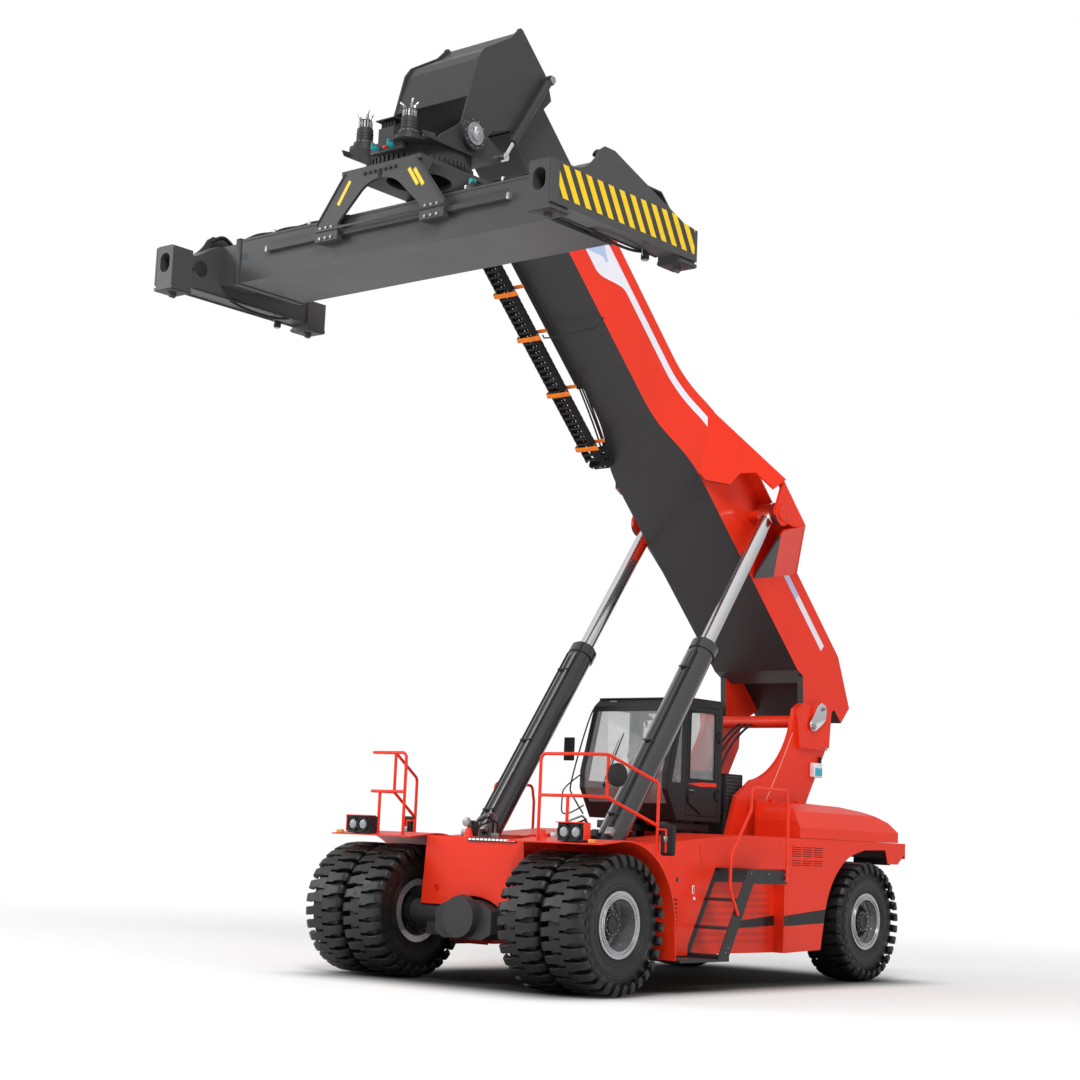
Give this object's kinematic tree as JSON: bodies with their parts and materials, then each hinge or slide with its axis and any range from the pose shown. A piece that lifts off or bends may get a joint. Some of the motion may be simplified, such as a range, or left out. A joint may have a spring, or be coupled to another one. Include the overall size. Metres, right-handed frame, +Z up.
{
  "type": "reach stacker",
  "caption": "Container reach stacker with a telescopic boom, twin lift cylinders, a slewing spreader with twistlocks, a sliding cab and steered rear wheels.",
  "frame": {"origin": "ground level under the middle of the machine's bounding box, boom raised as parked", "axes": "+Z up, the machine drives towards -Y, its left side is +X"},
  "size_m": [6.173, 10.0504, 11.2952],
  "materials": {
    "red_paint": "gloss red paint",
    "boom_paint": "gloss red sides, dark grey underside",
    "dark_paint": "satin dark grey paint",
    "spreader_paint": "satin dark grey paint",
    "black_plastic": "matt black",
    "tyre": "rubber",
    "rim_silver": "silver paint",
    "chrome_rod": "ground chrome",
    "glass": "clear",
    "seat_cloth": "woven",
    "cast_weight": "painted dark grey",
    "engine": "painted",
    "hose": "matt",
    "lock_steel": "dark steel"
  },
  "bodies": {
    "chassis": {"chassis_frame": "red_paint", "drive_axle": "dark_paint", "steer_axle": "dark_paint", "counterweight": "cast_weight", "engine_block": "engine", "tail_body": "red_paint", "side_bodies": "red_paint", "front_fenders": "red_paint", "handrails": "red_paint", "access_stairs": "dark_paint", "work_lamps": "black_plastic", "tower_hoses": "hose"},
    "cab": {"cab_shell": "black_plastic", "cab_glass": "glass", "cab_seat": "seat_cloth", "cab_controls": "black_plastic"},
    "cab_door": {"cab_door": "black_plastic"},
    "left_hood": {"left_hood_cover": "red_paint"},
    "right_hood": {"right_hood_cover": "red_paint"},
    "outer_boom": {"outer_boom": "boom_paint", "energy_chain": "black_plastic"},
    "inner_boom": {"inner_boom": "dark_paint"},
    "lift_barrels": {"lift_barrels": "dark_paint"},
    "lift_rods": {"lift_rods": "chrome_rod"},
    "damper_barrels": {"damper_barrels": "dark_paint"},
    "damper_rods": {"damper_rods": "chrome_rod"},
    "head_yoke": {"head_yoke": "dark_paint"},
    "rotator": {"rotator_frame": "spreader_paint"},
    "main_beam": {"main_beam": "spreader_paint"},
    "left_end": {"left_end_beam": "spreader_paint"},
    "right_end": {"right_end_beam": "spreader_paint"},
    "front_left_wheels": {"front_left_tyres": "tyre", "front_left_rims": "rim_silver"},
    "front_right_wheels": {"front_right_tyres": "tyre", "front_right_rims": "rim_silver"},
    "rear_left_wheel": {"rear_left_tyre": "tyre", "rear_left_rim": "rim_silver"},
    "rear_right_wheel": {"rear_right_tyre": "tyre", "rear_right_rim": "rim_silver"},
    "left_knuckle": {"left_steering_knuckle": "dark_paint"},
    "right_knuckle": {"right_steering_knuckle": "dark_paint"},
    "front_left_lock": {"front_left_twistlock": "lock_steel"},
    "front_right_lock": {"front_right_twistlock": "lock_steel"},
    "rear_left_lock": {"rear_left_twistlock": "lock_steel"},
    "rear_right_lock": {"rear_right_twistlock": "lock_steel"}
  },
  "joints": [
    {"name": "front_left_wheels_spin", "type": "hinge", "parent": "chassis", "child": "front_left_wheels", "pos_m": [1.5, -2.075, 0.79], "axis": [1, 0, 0], "continuous": true},
    {"name": "front_right_wheels_spin", "type": "hinge", "parent": "chassis", "child": "front_right_wheels", "pos_m": [-1.5, -2.075, 0.79], "axis": [1, 0, 0], "continuous": true},
    {"name": "left_steering", "type": "hinge", "parent": "chassis", "child": "left_knuckle", "pos_m": [1.08, 3.975, 0.79], "axis": [0, 0, 1], "range_deg": [-40, 40]},
    {"name": "right_steering", "type": "hinge", "parent": "chassis", "child": "right_knuckle", "pos_m": [-1.08, 3.975, 0.79], "axis": [0, 0, 1], "range_deg": [-40, 40]},
    {"name": "rear_left_wheel_spin", "type": "hinge", "parent": "left_knuckle", "child": "rear_left_wheel", "pos_m": [1.38, 3.975, 0.79], "axis": [1, 0, 0], "continuous": true},
    {"name": "rear_right_wheel_spin", "type": "hinge", "parent": "right_knuckle", "child": "rear_right_wheel", "pos_m": [-1.38, 3.975, 0.79], "axis": [1, 0, 0], "continuous": true},
    {"name": "boom_lift", "type": "hinge", "parent": "chassis", "child": "outer_boom", "pos_m": [0, 3.925, 3.58], "axis": [1, 0, 0], "range_deg": [-16.8, 43.2]},
    {"name": "boom_extend", "type": "slide", "parent": "outer_boom", "child": "inner_boom", "axis": [0, -0.729, 0.6845], "range_m": [-1.1, 4.6]},
    {"name": "lift_barrels_swing", "type": "hinge", "parent": "chassis", "child": "lift_barrels", "pos_m": [0, -1.095, 1.43], "axis": [1, 0, 0], "range_deg": [-2, 4.7]},
    {"name": "lift_rods_slide", "type": "slide", "parent": "lift_barrels", "child": "lift_rods", "axis": [0, 0.5888, 0.8083], "range_m": [-2.2, 0.87]},
    {"name": "head_level", "type": "hinge", "parent": "inner_boom", "child": "head_yoke", "pos_m": [0, -3.58538, 9.70401], "axis": [1, 0, 0], "range_deg": [-44, 18]},
    {"name": "damper_barrels_swing", "type": "hinge", "parent": "inner_boom", "child": "damper_barrels", "pos_m": [0, -2.27192, 10.77109], "axis": [1, 0, 0], "range_deg": [-1, 2]},
    {"name": "damper_rods_slide", "type": "slide", "parent": "damper_barrels", "child": "damper_rods", "axis": [0, -0.5409, -0.8411], "range_m": [-0.17, 0.42]},
    {"name": "spreader_slew", "type": "hinge", "parent": "head_yoke", "child": "rotator", "pos_m": [0, -3.74038, 9.359], "axis": [0, 0, 1], "range_deg": [-45, 45]},
    {"name": "side_shift", "type": "slide", "parent": "rotator", "child": "main_beam", "axis": [1, 0, 0], "range_m": [-0.8, 0.8]},
    {"name": "left_end_extend", "type": "slide", "parent": "main_beam", "child": "left_end", "axis": [1, 0, 0], "range_m": [0, 3.07]},
    {"name": "right_end_extend", "type": "slide", "parent": "main_beam", "child": "right_end", "axis": [-1, 0, 0], "range_m": [0, 3.07]},
    {"name": "front_left_twistlock_turn", "type": "hinge", "parent": "left_end", "child": "front_left_lock", "pos_m": [2.9265, -4.87038, 8.15901], "axis": [0, 0, 1], "range_deg": [0, 90]},
    {"name": "front_right_twistlock_turn", "type": "hinge", "parent": "right_end", "child": "front_right_lock", "pos_m": [-2.9265, -4.87038, 8.15901], "axis": [0, 0, 1], "range_deg": [0, 90]},
    {"name": "rear_left_twistlock_turn", "type": "hinge", "parent": "left_end", "child": "rear_left_lock", "pos_m": [2.9265, -2.61038, 8.15901], "axis": [0, 0, 1], "range_deg": [0, 90]},
    {"name": "rear_right_twistlock_turn", "type": "hinge", "parent": "right_end", "child": "rear_right_lock", "pos_m": [-2.9265, -2.61038, 8.15901], "axis": [0, 0, 1], "range_deg": [0, 90]},
    {"name": "cab_slide", "type": "slide", "parent": "chassis", "child": "cab", "axis": [0, -1, 0], "range_m": [0, 1]},
    {"name": "cab_door_swing", "type": "hinge", "parent": "cab", "child": "cab_door", "pos_m": [0.718, 1.711, 2.3], "axis": [0, 0, -1], "range_deg": [-95, 0]},
    {"name": "left_hood_lift", "type": "hinge", "parent": "chassis", "child": "left_hood", "pos_m": [0.922, 2.685, 2.344], "axis": [0, -1, 0], "range_deg": [0, 70]},
    {"name": "right_hood_lift", "type": "hinge", "parent": "chassis", "child": "right_hood", "pos_m": [-0.922, 2.685, 2.344], "axis": [0, 1, 0], "range_deg": [0, 70]}
  ],
  "couplings": [
    {"joint": "right_steering", "follows": "left_steering", "ratio": 1},
    {"joint": "lift_barrels_swing", "follows": "boom_lift", "ratio": 0.1004},
    {"joint": "lift_rods_slide", "follows": "boom_lift", "m_per_rad": -2.8926},
    {"joint": "head_level", "follows": "boom_lift", "ratio": -1},
    {"joint": "damper_barrels_swing", "follows": "boom_lift", "ratio": 0.035},
    {"joint": "damper_rods_slide", "follows": "boom_lift", "m_per_rad": 0.53},
    {"joint": "right_end_extend", "follows": "left_end_extend", "ratio": 1},
    {"joint": "front_right_twistlock_turn", "follows": "front_left_twistlock_turn", "ratio": 1},
    {"joint": "rear_left_twistlock_turn", "follows": "front_left_twistlock_turn", "ratio": 1},
    {"joint": "rear_right_twistlock_turn", "follows": "front_left_twistlock_turn", "ratio": 1}
  ]
}
